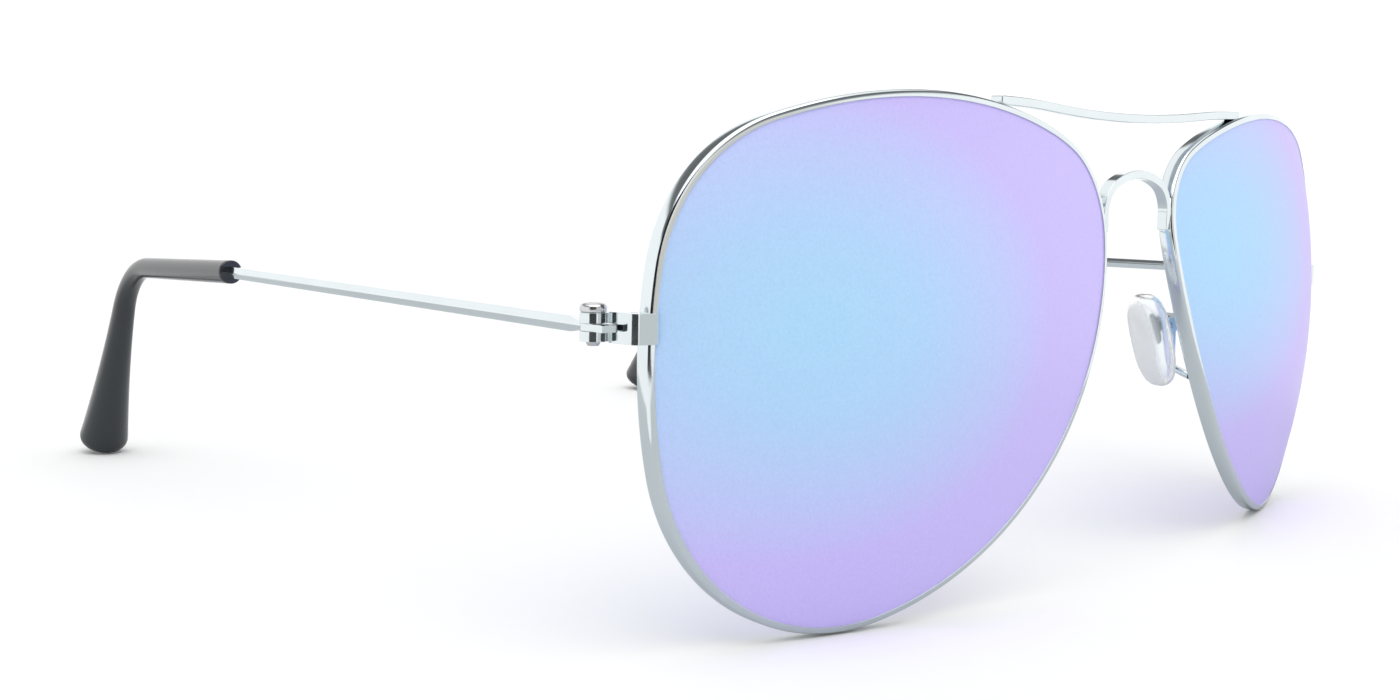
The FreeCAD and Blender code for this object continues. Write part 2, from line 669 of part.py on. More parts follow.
def build():
    rim, lens, form = make_rim_and_lens()
    forms = (form, mirrored(form))
    left = {"rim": rim, "lens": lens}
    left["endpiece"] = make_endpiece(form)
    blocks, left["rim_screw"] = make_closing_blocks(form, left["endpiece"])
    left["closing_block_upper"], left["closing_block_lower"] = blocks
    left["hinge_screw"] = make_hinge_screw()
    left["temple"] = make_temple()
    left["temple_tip"] = make_temple_tip(left["temple"])
    soft, core = make_nose_pad()
    left["nose_pad"] = placed(soft, pad_place())
    left["pad_core"] = placed(core, pad_place())
    left["pad_screw"] = placed(make_pad_screw(), pad_place())
    left["pad_arm"] = make_pad_arm(form)
    nodes = {"bridge": make_bridge(forms), "brow_bar": make_brow_bar(forms)}
    for name, shape in left.items():
        nodes[name + "_left"] = shape
        nodes[name + "_right"] = mirrored(shape)
    return nodes


def standing_place(nodes):
    """Turn the glasses until the rims and the temple tips stand on one surface, and centre them."""
    turn = 0.0
    for _ in range(4):
        place = FreeCAD.Placement(V(0, 0, 0), FreeCAD.Rotation(V(1, 0, 0), turn))
        rim = placed(nodes["rim_left"], place).optimalBoundingBox()
        tip = placed(nodes["temple_tip_left"], place).optimalBoundingBox()
        turn -= math.degrees(math.atan2(tip.ZMin - rim.ZMin, tip.Center.y - rim.Center.y))
    place = FreeCAD.Placement(V(0, 0, 0), FreeCAD.Rotation(V(1, 0, 0), turn))
    boxes = [placed(shape, place).optimalBoundingBox() for shape in nodes.values()]
    middle = (min(box.YMin for box in boxes) + max(box.YMax for box in boxes)) / 2
    floor = min(box.ZMin for box in boxes)
    return FreeCAD.Placement(V(0, -middle, -floor), FreeCAD.Rotation(V(1, 0, 0), turn))


def main():
    os.makedirs("parts", exist_ok=True)
    nodes = build()
    place = standing_place(nodes)
    for name, shape in sorted(nodes.items()):
        shape = placed(shape, place)
        if not shape.isValid() or len(shape.Solids) != 1:
            raise ValueError("%s: valid %s, %d solids" % (name, shape.isValid(), len(shape.Solids)))
        shape.Solids[0].exportStep("parts/%s.step" % name)
        print("%-28s %9.3f mm3" % (name, shape.Volume))
    turn = place.Rotation
    pivot = pad_place().multVec(pad_pivot())
    across = pad_place().Rotation.multVec(V(0, 1, 0))
    print("left hinge at", place.multVec(hinge_axis()), "axis", turn.multVec(V(0, 0, 1)))
    print("left pad at", place.multVec(pivot), "axis", turn.multVec(across))


main()
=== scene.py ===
"""Finished looks for wire-frame aviator sunglasses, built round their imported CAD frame.

Metres, in the frame's own axes: the lenses face -Y, +Z is up and the wearer's left is +X.
"""
import json
import math

import bmesh
import bpy
from bpy.props import FloatProperty, FloatVectorProperty, IntProperty, PointerProperty
from mathutils import Matrix, Vector


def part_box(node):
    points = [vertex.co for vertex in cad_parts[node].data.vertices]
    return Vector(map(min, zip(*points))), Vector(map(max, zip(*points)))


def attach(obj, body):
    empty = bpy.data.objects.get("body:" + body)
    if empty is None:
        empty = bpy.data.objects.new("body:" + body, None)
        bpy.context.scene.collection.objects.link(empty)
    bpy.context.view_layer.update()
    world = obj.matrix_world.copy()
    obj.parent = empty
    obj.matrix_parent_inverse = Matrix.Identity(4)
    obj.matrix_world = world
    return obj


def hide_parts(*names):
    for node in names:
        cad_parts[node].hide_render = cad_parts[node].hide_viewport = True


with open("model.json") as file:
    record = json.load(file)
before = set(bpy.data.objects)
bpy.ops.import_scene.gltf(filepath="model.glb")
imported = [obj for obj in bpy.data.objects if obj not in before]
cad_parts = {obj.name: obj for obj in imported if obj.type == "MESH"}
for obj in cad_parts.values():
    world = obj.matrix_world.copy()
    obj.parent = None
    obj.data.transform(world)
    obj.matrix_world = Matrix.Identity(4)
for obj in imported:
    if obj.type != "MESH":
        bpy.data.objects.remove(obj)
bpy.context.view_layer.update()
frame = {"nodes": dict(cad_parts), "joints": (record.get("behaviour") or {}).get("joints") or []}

bl_info = {
    "name": "Aviator Sunglasses",
    "version": (1, 0, 0),
    "blender": (4, 5, 0),
    "location": "3D View > Sidebar > Sunglasses",
    "description": "Builds polished wire-frame sunglasses with mirrored lenses",
    "category": "Object",
}

MM = 0.001
SIDES = ("left", "right")

# The lens outline and its place on the face, the same as in the frame's design.
LENS_WIDTH = 58.0
LENS_HEIGHT = 49.8
LENS_RADIUS = 88.0
LENS_THICKNESS = 1.4
HALF_PITCH = 37.35
WRAP = math.radians(10.4)
OUTLINE_HEADINGS = (-13, 77, 101, 163, 198, 206, 274, 283, 347)
OUTLINE_RADII = (20.6, 43.7, 17.0, 60.0, 30.7, 9.5, 25.5, 42.0)
RIM_WALL = 0.7
RIM_LIP = 0.15
RIM_SPLIT = 0.2
HINGE_BACK = 14.5
HINGE_RISE = 4.13
SPLAY = math.radians(7.4)
TEMPLE_STRAIGHT = 74.4
TIP_START = 74.0
TIP_CORNER = (105.8, -1.35)
TIP_END = (117.3, -27.0)
TIP_BEND = 10.0
TIP_FLARE = 1.7  # how late the sleeve swells; 1 would be a straight taper
CAP_LENGTH = 0.5  # of the rounded end, as a share of the end's radius
CAP_FLAT = 0.45  # of the flat at the very end, as a share of the end's radius
MOUTH_EASE = 0.86
PAD_CENTRE = (9.65, 3.72, -1.0)
PAD_SPLAY = math.radians(16)
PAD_TILT = math.radians(18)
PAD_SQUARENESS = 0.72  # 1 is an ellipse, 0 a rectangle

# Camera, in the wearer's frame: millimetres and degrees.
CAMERA_PLACE = (-169.7, -93.998, 18.818)
CAMERA_TURN = -46.693
CAMERA_RISE = 6.362
CAMERA_ROLL = 1.118

# Stage, in metres and degrees.
FLOOR_LEVEL = -0.0002
FLOOR_REACH = 6
MAT_LEVEL = -0.0001
FLAG_ANGLES = (-72, -24)
FLAG_STEPS = 24
FLAG_LEVEL = 0.001
FLAG_NEAR = 0.28
FLAG_FAR = 0.55
FLAG_TOP = 0.5


# ---------------------------------------------------------------- places

def joint(name):
    return next(j for j in frame["joints"] if j["name"] == name)


def standing():
    """From the wearer's frame, in millimetres, to the frame as it stands, in metres."""
    fold = joint("temple_fold_left")
    axis = Vector(fold["axis"])
    turn = Matrix.Rotation(math.atan2(-axis.y, axis.z), 4, "X")
    hinge = Vector(fold["pos_m"])
    worn = Vector((hinge.x, HINGE_BACK * MM, HINGE_RISE * MM))
    return Matrix.Translation(hinge - turn @ worn) @ turn @ Matrix.Scale(MM, 4)


STAND = standing()
HINGE_X = joint("temple_fold_left")["pos_m"][0] / MM
LENS_AXES = Matrix.Translation((HALF_PITCH, 0, 0)) @ Matrix((
    (math.cos(WRAP), 0, math.sin(WRAP), 0),
    (math.sin(WRAP), 0, -math.cos(WRAP), 0),
    (0, 1, 0, 0),
    (0, 0, 0, 1),
))


def side_matrix(side):
    """Mirrors the left side's drawing for the right side."""
    return STAND @ Matrix.Scale(1 if side == "left" else -1, 4, (1, 0, 0))


def turned(heading):
    angle = math.radians(heading)
    return math.sin(angle), -math.cos(angle)


def outline_arcs():
    """Arcs as (centre u, centre v, radius, first, last), closed and brought to the lens's size."""
    spans = list(zip(OUTLINE_HEADINGS[:-1], OUTLINE_HEADINGS[1:]))

    def travel(span, low, high, axis):
        first, last = max(span[0], low), min(span[1], high)
        return turned(last)[axis] - turned(first)[axis] if last > first else 0.0

    rows = [
        [travel(s, -90, 450, 0) for s in spans],
        [travel(s, -90, 450, 1) for s in spans],
        [travel(s, -90, 90, 0) + travel(s, 270, 450, 0) for s in spans],
        [travel(s, 0, 180, 1) for s in spans],
    ]
    weights = [r * r for r in OUTLINE_RADII]
    matrix = Matrix([[sum(w * a * b for w, a, b in zip(weights, p, q)) for q in rows] for p in rows])
    target = (0.0, 0.0, LENS_WIDTH, LENS_HEIGHT)
    short = Vector([t - sum(a * r for a, r in zip(p, OUTLINE_RADII)) for t, p in zip(target, rows)])
    factors = matrix.inverted() @ short
    radii = [
        r + w * sum(f * p[i] for f, p in zip(factors, rows))
        for i, (r, w) in enumerate(zip(OUTLINE_RADII, weights))
    ]
    arcs, u, v = [], 0.0, 0.0
    for i, (first, last) in enumerate(spans):
        if i:
            du, dv = turned(first)
            u += (radii[i - 1] - radii[i]) * du
            v += (radii[i - 1] - radii[i]) * dv
        arcs.append((u, v, radii[i], first, last))
    shift_u = sum(outline_point(arcs, h)[0] for h in (90, 270)) / 2
    shift_v = sum(outline_point(arcs, h)[1] for h in (0, 180)) / 2
    return [(u - shift_u, v - shift_v, r, a, b) for u, v, r, a, b in arcs]


def outline_point(arcs, heading, offset=0.0):
    heading = (heading - OUTLINE_HEADINGS[0]) % 360 + OUTLINE_HEADINGS[0]
    for u, v, radius, first, last in arcs:
        if first <= heading <= last:
            du, dv = turned(heading)
            return u + (radius + offset) * du, v + (radius + offset) * dv
    raise ValueError("no arc has this heading")


ARCS = outline_arcs()


def headings(step, gap=0.0):
    """Headings at even steps round the outline, from the split and back to it."""
    u, v, radius, first, last = next(a for a in ARCS if a[3] <= 90 <= a[4])
    low = math.degrees(math.acos((v - HINGE_RISE + gap / 2) / radius))
    high = math.degrees(math.acos((v - HINGE_RISE - gap / 2) / radius))
    found, start = [], high
    stops = sorted({(h - high) % 360 + high for h in OUTLINE_HEADINGS[:-1]}) + [low + 360]
    for stop in stops:
        middle = (start + stop) / 2
        at = (middle - OUTLINE_HEADINGS[0]) % 360 + OUTLINE_HEADINGS[0]
        radius = next(a[2] for a in ARCS if a[3] <= at <= a[4])
        count = max(1, round(radius * math.radians(stop - start) / step))
        found += [start + (stop - start) * i / count for i in range(count)]
        start = stop
    return found + [low + 360]


def sag(u, v):
    return LENS_RADIUS - math.sqrt(LENS_RADIUS**2 - u * u - v * v)


# ---------------------------------------------------------------- mesh helpers

def new_piece(name, vertices, faces, matrix, surface, smooth=40.0):
    mesh = bpy.data.meshes.new(name)
    mesh.from_pydata(vertices, [], faces)
    mesh.transform(matrix)
    if matrix.determinant() < 0:
        mesh.flip_normals()
    return finish_mesh(name, mesh, surface, smooth)


def finish_mesh(name, mesh, surface, smooth):
    mesh.validate()
    mesh.shade_smooth()
    mesh.set_sharp_from_angle(angle=math.radians(smooth))
    mesh.materials.clear()
    mesh.materials.append(surface)
    piece = bpy.data.objects.new(name, mesh)
    bpy.context.scene.collection.objects.link(piece)
    return piece


def swept(sections, closed_section=True, closed_path=False):
    """Vertices and faces through rings of points, with end caps on an open path."""
    count = len(sections[0])
    vertices = [point for ring in sections for point in ring]
    faces = []
    rings = len(sections)
    for i in range(rings if closed_path else rings - 1):
        a, b = i * count, (i + 1) % rings * count
        for j in range(count if closed_section else count - 1):
            k = (j + 1) % count
            faces.append((a + j, b + j, b + k, a + k))
    if not closed_path and closed_section:
        faces.append(tuple(range(count)))
        faces.append(tuple(reversed(range((rings - 1) * count, rings * count))))
    return vertices, faces


def rounded_box_section(low, high, radii, steps=4):
    """Corners of a section as (out, forward) pairs, anticlockwise, each corner with its radius."""
    (x0, y0), (x1, y1) = low, high
    points = []
    for (x, y, start), radius in zip(((x1, y1, 0), (x0, y1, 90), (x0, y0, 180), (x1, y0, 270)), radii):
        cx = x - math.copysign(radius, x - (x0 + x1) / 2)
        cy = y - math.copysign(radius, y - (y0 + y1) / 2)
        for i in range(steps + 1):
            angle = math.radians(start + 90 * i / steps)
            points.append((cx + radius * math.cos(angle), cy + radius * math.sin(angle)))
    return points


def finished_copy(node, body, surface, bevel, smooth=32.0, segments=2):
    """A clean copy of a CAD node with eased edges, standing for it."""
    mesh = frame["nodes"][node].data.copy()
    mesh.name = node + "_finish"
    work = bmesh.new()
    work.from_mesh(mesh)
    bmesh.ops.remove_doubles(work, verts=work.verts, dist=0.002 * MM)
    bmesh.ops.dissolve_limit(work, angle_limit=math.radians(0.4), verts=work.verts, edges=work.edges)
    work.to_mesh(mesh)
    work.free()
    piece = finish_mesh(node + "_finish", mesh, surface, smooth)
    if bevel:
        ease = piece.modifiers.new("eased_edges", "BEVEL")
        ease.width = bevel
        ease.segments = segments
        ease.limit_method = "ANGLE"
        ease.angle_limit = math.radians(smooth)
        ease.harden_normals = True
    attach(piece, body)
    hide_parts(node)
    return piece


# ---------------------------------------------------------------- shader helpers

class Signal:
    """A node's output that takes part in arithmetic, adding the Math nodes it needs."""

    def __init__(self, surface, socket):
        self.surface = surface
        self.socket = socket

    def math(self, operation, *values):
        sockets = dict(enumerate(values))
        return self.surface.node("ShaderNodeMath", {"operation": operation}, sockets)

    def __add__(self, other):
        return self.math("ADD", self, other)

    def __radd__(self, other):
        return self.math("ADD", other, self)

    def __sub__(self, other):
        return self.math("SUBTRACT", self, other)

    def __rsub__(self, other):
        return self.math("SUBTRACT", other, self)

    def __mul__(self, other):
        return self.math("MULTIPLY", self, other)

    def __rmul__(self, other):
        return self.math("MULTIPLY", other, self)

    def __truediv__(self, other):
        return self.math("DIVIDE", self, other)

    def __pow__(self, other):
        return self.math("POWER", self, other)

    def clamp(self):
        return self.math("MINIMUM", self.math("MAXIMUM", self, 0.0), 1.0)


class Surface:
    """A node tree being written, for a material or the world."""

    def __init__(self, name, owner=None):
        self.owner = owner or bpy.data.materials.new(name)
        self.owner.use_nodes = True
        self.tree = self.owner.node_tree
        self.tree.nodes.clear()

    def node(self, kind, settings=None, sockets=None, output=0):
        made = self.tree.nodes.new(kind)
        for key, value in (settings or {}).items():
            if key == "stops":
                ramp = made.color_ramp
                while len(ramp.elements) < len(value):
                    ramp.elements.new(1.0)
                for element, (position, colour) in zip(ramp.elements, value):
                    element.position = position
                    element.color = (*colour, 1.0)
            else:
                setattr(made, key, value)
        for key, value in (sockets or {}).items():
            if isinstance(value, Signal):
                self.tree.links.new(value.socket, made.inputs[key])
            else:
                made.inputs[key].default_value = value
        return Signal(self, made.outputs[output]) if len(made.outputs) else None

    def place(self, centre=(0, 0, 0), scale=(1, 1, 1), turn=(0, 0, 0)):
        """Object coordinates, moved so that the centre is the origin, then scaled."""
        here = self.node("ShaderNodeTexCoord", output="Object")
        moved = self.node("ShaderNodeVectorMath", {"operation": "SUBTRACT"}, {0: here, 1: centre})
        return self.node("ShaderNodeMapping", {"vector_type": "POINT"},
                         {"Vector": moved, "Scale": scale, "Rotation": turn})

    def noise(self, place, scale, detail=2.0, roughness=0.5):
        return self.node("ShaderNodeTexNoise", {"noise_dimensions": "3D"},
                         {"Vector": place, "Scale": scale, "Detail": detail, "Roughness": roughness})

    def mix(self, factor, first, second):
        return self.node("ShaderNodeMix", {"data_type": "RGBA"}, {0: factor, 6: first, 7: second}, 2)

    def bump(self, height, strength, distance):
        return self.node("ShaderNodeBump", None,
                         {"Height": height, "Strength": strength, "Distance": distance})

    def principled(self, **values):
        names = {key.replace("_", " "): value for key, value in values.items()}
        shader = self.node("ShaderNodeBsdfPrincipled", None, names)
        self.node("ShaderNodeOutputMaterial", None, {"Surface": shader})
        return self.owner


def rgba(colour):
    return (*colour, 1.0)


def polished_plate(name, light, dark, rough):
    """Bright plated metal: faint clouding in the polish and very fine buffing marks."""
    s = Surface(name)
    here = s.place()
    cloud = s.noise(here, 160.0, 3.0)
    marks = s.noise(s.place(scale=(1, 1, 0.25)), 5200.0, 2.0)
    shade = s.mix(cloud, rgba(light), rgba(dark))
    return s.principled(
        Base_Color=shade, Metallic=1.0, Roughness=rough + cloud * 0.05 + marks * 0.04,
        Normal=s.bump(marks, 0.03, 0.00002),
    )


def turned_steel(name, centre, colour):
    """Machined screw metal with rings about the screw's axis."""
    s = Surface(name)
    rings = s.node("ShaderNodeTexWave", {"wave_type": "RINGS", "rings_direction": "Z"},
                   {"Vector": s.place(centre=centre), "Scale": 1600.0, "Distortion": 0.6})
    cloud = s.noise(s.place(), 900.0, 2.0)
    shade = s.mix(cloud, rgba(colour), rgba([c * 0.82 for c in colour]))
    return s.principled(
        Base_Color=shade, Metallic=1.0, Roughness=0.2 + rings * 0.1,
        Normal=s.bump(rings, 0.08, 0.00002),
    )


def mirror_lens(side, props):
    """A blue mirror coating with a painted reflection: its colour turns from sky blue to violet away from
    one spot, which is fixed on each lens and does not move with the view.
    """
    s = Surface("mirror_coating_" + side)
    spot = props.spot_right if side == "right" else props.spot_left
    sign = 1 if side == "left" else -1
    u, v = spot
    at = LENS_AXES @ Vector((u / MM, v / MM, -sag(u / MM, v / MM)))
    centre = side_matrix("left") @ at
    centre.x *= sign
    wide = s.place(centre=tuple(centre), scale=(1 / props.spread_wide, 0.0, 1 / props.spread_high))
    away = s.node("ShaderNodeVectorMath", {"operation": "LENGTH"}, {0: wide}, "Value")
    drift = s.noise(s.place(), 60.0, 1.0)
    grain = s.noise(s.place(), 3800.0, 1.0)
    amount = (away + (drift - 0.5) * 0.06).clamp()
    # Painted reflection: the change from the coating's sky blue to violet round the spot is painted into
    # the base colour, at a different place on each lens.
    stops = [(0.0, props.colour_spot), (0.36, props.colour_near), (0.58, props.colour_middle),
             (0.78, props.colour_far), (1.0, props.colour_edge)]
    tint = s.node("ShaderNodeValToRGB", {"stops": stops}, {"Fac": amount})
    paler = s.node("ShaderNodeHueSaturation", None,
                   {"Color": tint, "Value": 0.90 + grain * 0.14, "Saturation": 1.0})
    return s.principled(
        Base_Color=paler, Metallic=props.mirror, Roughness=0.42 + grain * 0.04,
        Coat_Weight=0.08, Coat_Roughness=0.3, Normal=s.bump(grain, 0.01, 0.00001),
    )


def satin_plastic(name, colour, light):
    """Moulded dark plastic: a faint skin texture and slightly paler worn patches."""
    s = Surface(name)
    skin = s.noise(s.place(), 2600.0, 3.0)
    cloud = s.noise(s.place(), 140.0, 3.0)
    shade = s.mix(cloud, rgba(colour), rgba(light))
    return s.principled(
        Base_Color=shade, Roughness=0.3 + skin * 0.08 + cloud * 0.08, IOR=1.5,
        Coat_Weight=0.8, Coat_Roughness=0.14, Normal=s.bump(skin, 0.04, 0.00003),
    )


def clear_silicone(name, colour):
    """Soft clear silicone with a faint haze."""
    s = Surface(name)
    haze = s.noise(s.place(), 700.0, 2.0)
    shade = s.mix(haze, rgba(colour), rgba([c * 0.97 for c in colour]))
    return s.principled(
        Base_Color=shade, Roughness=0.18 + haze * 0.1, IOR=1.41, Transmission_Weight=0.88,
        Normal=s.bump(haze, 0.04, 0.00005),
    )


# ---------------------------------------------------------------- settings

class MetalSettings(bpy.types.PropertyGroup):
    """The plated wire and sheet of the frame."""
    light: FloatVectorProperty(name="Plate", description="Colour of the plating where it is clean",
                               subtype="COLOR", default=(0.80, 0.86, 0.88), min=0, max=1)
    dark: FloatVectorProperty(name="Clouded plate", description="Colour where the polish is clouded",
                              subtype="COLOR", default=(0.73, 0.79, 0.81), min=0, max=1)
    rough: FloatProperty(name="Roughness", description="Roughness of the polish", default=0.05,
                         min=0.0, max=1.0)
    rim_step: FloatProperty(name="Rim step", description="Length of one face along the rim",
                            default=0.0005, min=0.0002, max=0.003, unit="LENGTH")
    rim_round: FloatProperty(name="Rim rounding", description="Radius of the rim's outer corners",
                             default=0.00022, min=0.00005, max=0.0003, unit="LENGTH")
    edge: FloatProperty(name="Eased edge", description="Width of the eased edges of bars and straps",
                        default=0.00007, min=0.0, max=0.0002, unit="LENGTH")
    screw: FloatVectorProperty(name="Screw steel", description="Colour of the screws",
                               subtype="COLOR", default=(0.74, 0.75, 0.76), min=0, max=1)


class LensSettings(bpy.types.PropertyGroup):
    """The domed lenses and their mirror coating, whose change from sky blue to violet is a painted
    reflection.
    """
    # Colours from the spot outwards: the coating's own blue, turned violet towards the edge by a painted
    # reflection.
    colour_spot: FloatVectorProperty(name="Spot", description="Coating at the middle of the spot",
                                     subtype="COLOR", default=(0.423, 0.723, 0.99), min=0, max=1)
    colour_near: FloatVectorProperty(name="Near", description="Coating close to the spot",
                                     subtype="COLOR", default=(0.448, 0.694, 0.985), min=0, max=1)
    colour_middle: FloatVectorProperty(name="Middle", description="Coating between spot and edge",
                                       subtype="COLOR", default=(0.497, 0.651, 0.985), min=0, max=1)
    colour_far: FloatVectorProperty(name="Far", description="Coating near the violet zone",
                                    subtype="COLOR", default=(0.546, 0.604, 0.985), min=0, max=1)
    colour_edge: FloatVectorProperty(name="Edge", description="Coating in the violet zone",
                                     subtype="COLOR", default=(0.610, 0.527, 0.985), min=0, max=1)
    # Where the painted reflection is bluest, placed differently on each lens.
    spot_right: FloatVectorProperty(name="Right spot", size=2, subtype="XYZ_LENGTH",
                                    description="Spot from the right lens's middle, outwards and up",
                                    default=(0.014, 0.004))
    spot_left: FloatVectorProperty(name="Left spot", size=2, subtype="XYZ_LENGTH",
                                   description="Spot from the left lens's middle, outwards and up",
                                   default=(-0.020, 0.009))
    spread_wide: FloatProperty(name="Spread across", description="Distance from spot to violet, across",
                               default=0.031, min=0.005, max=0.1, unit="LENGTH")
    spread_high: FloatProperty(name="Spread up", description="Distance from spot to violet, upwards",
                               default=0.022, min=0.005, max=0.1, unit="LENGTH")
    mirror: FloatProperty(name="Mirror", description="How metallic the coating is", default=0.2,
                          min=0.0, max=1.0, subtype="FACTOR")
    rings: IntProperty(name="Rings", description="Rings of faces from the middle to the edge",
                       default=26, min=8, max=60)


class TipSettings(bpy.types.PropertyGroup):
    """The sleeves behind the ears."""
    colour: FloatVectorProperty(name="Plastic", description="Colour of the sleeve",
                                subtype="COLOR", default=(0.006, 0.009, 0.012), min=0, max=1)
    light: FloatVectorProperty(name="Worn plastic", description="Colour of its paler patches",
                               subtype="COLOR", default=(0.011, 0.015, 0.019), min=0, max=1)
    mouth: FloatProperty(name="Mouth radius", description="Radius at the open end", default=0.0014,
                         min=0.0008, max=0.002, unit="LENGTH")
    bend: FloatProperty(name="Bend radius", description="Radius of the sleeve at its bend",
                        default=0.00132, min=0.0008, max=0.002, unit="LENGTH")
    end: FloatProperty(name="End radius", description="Radius at the swollen end", default=0.0034,
                       min=0.0015, max=0.004, unit="LENGTH")
    sides: IntProperty(name="Sides", description="Faces round the sleeve", default=40, min=12, max=96)


class PadSettings(bpy.types.PropertyGroup):
    """The clear nose pads."""
    colour: FloatVectorProperty(name="Silicone", description="Tint of the clear pads",
                                subtype="COLOR", default=(0.93, 0.975, 0.99), min=0, max=1)
    length: FloatProperty(name="Length", description="Pad length", default=0.0112, min=0.006,
                          max=0.02, unit="LENGTH")
    width: FloatProperty(name="Width", description="Pad width", default=0.0056, min=0.003, max=0.01,
                         unit="LENGTH")
    thickness: FloatProperty(name="Thickness", description="Pad thickness", default=0.0024,
                             min=0.001, max=0.004, unit="LENGTH")


class StageSettings(bpy.types.PropertyGroup):
    """Floor, light and camera."""
    floor: FloatVectorProperty(name="Floor", description="Colour of the floor", subtype="COLOR",
                               default=(0.97, 0.97, 0.97), min=0, max=1)
    wall: FloatVectorProperty(name="Wall", description="Colour of the grey wall before the glasses",
                              subtype="COLOR", default=(0.64, 0.61, 0.57), min=0, max=1)
    sky: FloatProperty(name="Surround", description="Brightness of the surrounding light",
                       default=1.1, min=0.0, max=5.0)
    key: FloatProperty(name="Key", description="Strength of the soft key light", default=1.05,
                       min=0.0, max=10.0)


# ---------------------------------------------------------------- pieces

def metal():
    found = bpy.data.materials.get("polished_plate")
    props = bpy.context.scene.glasses_metal
    return found or polished_plate("polished_plate", props.light, props.dark, props.rough)


def screw_steel(name, centre):
    props = bpy.context.scene.glasses_metal
    return turned_steel(name, centre, props.screw)


class GLASSES_OT_rims(bpy.types.Operator):
    """Sweep the rim wires round the lens outline"""
    bl_idname = "glasses.rims"
    bl_label = "Rims"

    def execute(self, context):
        props = context.scene.glasses_metal
        outer = props.rim_round / MM
        section = rounded_box_section((0.0, -LENS_THICKNESS - RIM_LIP), (RIM_WALL, RIM_LIP),
                                      (outer, 0.07, 0.07, outer), steps=5)
        rings = []
        for heading in headings(props.rim_step / MM, RIM_SPLIT):
            ring = []
            for out, forward in section:
                u, v = outline_point(ARCS, heading, out)
                ring.append((u, v, forward - sag(u, v)))
            rings.append(ring)
        vertices, faces = swept(rings)
        for side in SIDES:
            rim = new_piece("rim_wire_" + side, vertices, faces, side_matrix(side) @ LENS_AXES, metal())
            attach(rim, "front")
            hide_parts("rim_" + side)
        return {"FINISHED"}


class GLASSES_OT_lenses(bpy.types.Operator):
    """Dome the mirrored lenses"""
    bl_idname = "glasses.lenses"
    bl_label = "Lenses"

    def execute(self, context):
        props = context.scene.glasses_lens
        round_it = headings(0.8)[:-1]
        edge = [outline_point(ARCS, heading, 0.01) for heading in round_it]
        count = len(edge)
        vertices, faces = [], []
        for depth in (0.0, LENS_THICKNESS):
            vertices.append((0, 0, -depth))
            for ring in range(1, props.rings + 1):
                share = math.sin(math.pi / 2 * ring / props.rings)
                vertices += [(u * share, v * share, -depth - sag(u * share, v * share)) for u, v in edge]
        layer = 1 + props.rings * count
        for start, flip in ((0, False), (layer, True)):
            for j in range(count):
                k = (j + 1) % count
                first = (start, start + 1 + j, start + 1 + k)
                faces.append(first[::-1] if flip else first)
                for ring in range(props.rings - 1):
                    a = start + 1 + ring * count
                    b = a + count
                    quad = (a + j, b + j, b + k, a + k)
                    faces.append(quad[::-1] if flip else quad)
        last = 1 + (props.rings - 1) * count
        for j in range(count):
            k = (j + 1) % count
            faces.append((last + j, layer + last + j, layer + last + k, last + k))
        for side in SIDES:
            lens = new_piece("mirror_lens_" + side, vertices, faces, side_matrix(side) @ LENS_AXES,
                             mirror_lens(side, props))
            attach(lens, "front")
            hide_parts("lens_" + side)
        return {"FINISHED"}


class GLASSES_OT_metalwork(bpy.types.Operator):
    """Finish the bridge, brow bar, endpieces, closing blocks and pad arms"""
    bl_idname = "glasses.metalwork"
    bl_label = "Bridge, bar and straps"

    def execute(self, context):
        edge = context.scene.glasses_metal.edge
        finished_copy("bridge", "front", metal(), edge * 1.6, segments=3)
        finished_copy("brow_bar", "front", metal(), edge * 2, segments=3)
        for side in SIDES:
            finished_copy("endpiece_" + side, "front", metal(), edge)
            for half in ("upper", "lower"):
                finished_copy("closing_block_%s_%s" % (half, side), "front", metal(), edge)
            finished_copy("pad_arm_" + side, "front", metal(), edge * 0.6)
        return {"FINISHED"}


class GLASSES_OT_screws(bpy.types.Operator):
    """Finish the hinge, rim and pad screws"""
    bl_idname = "glasses.screws"
    bl_label = "Screws"

    def execute(self, context):
        edge = context.scene.glasses_metal.edge
        for side in SIDES:
            for kind in ("hinge_screw", "rim_screw", "pad_screw"):
                node = kind + "_" + side
                low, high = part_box(node)
                middle = tuple((a + b) / 2 for a, b in zip(low, high))
                finished_copy(node, "front", screw_steel(node + "_steel", middle),
                              edge * 0.6)
        return {"FINISHED"}


class GLASSES_OT_temples(bpy.types.Operator):
    """Finish the temple wires"""
    bl_idname = "glasses.temples"
    bl_label = "Temples"

    def execute(self, context):
        edge = context.scene.glasses_metal.edge
        for side in SIDES:
            finished_copy("temple_" + side, "temple_arm_" + side, metal(), edge * 1.4,
                          smooth=25.0, segments=3)
        return {"FINISHED"}


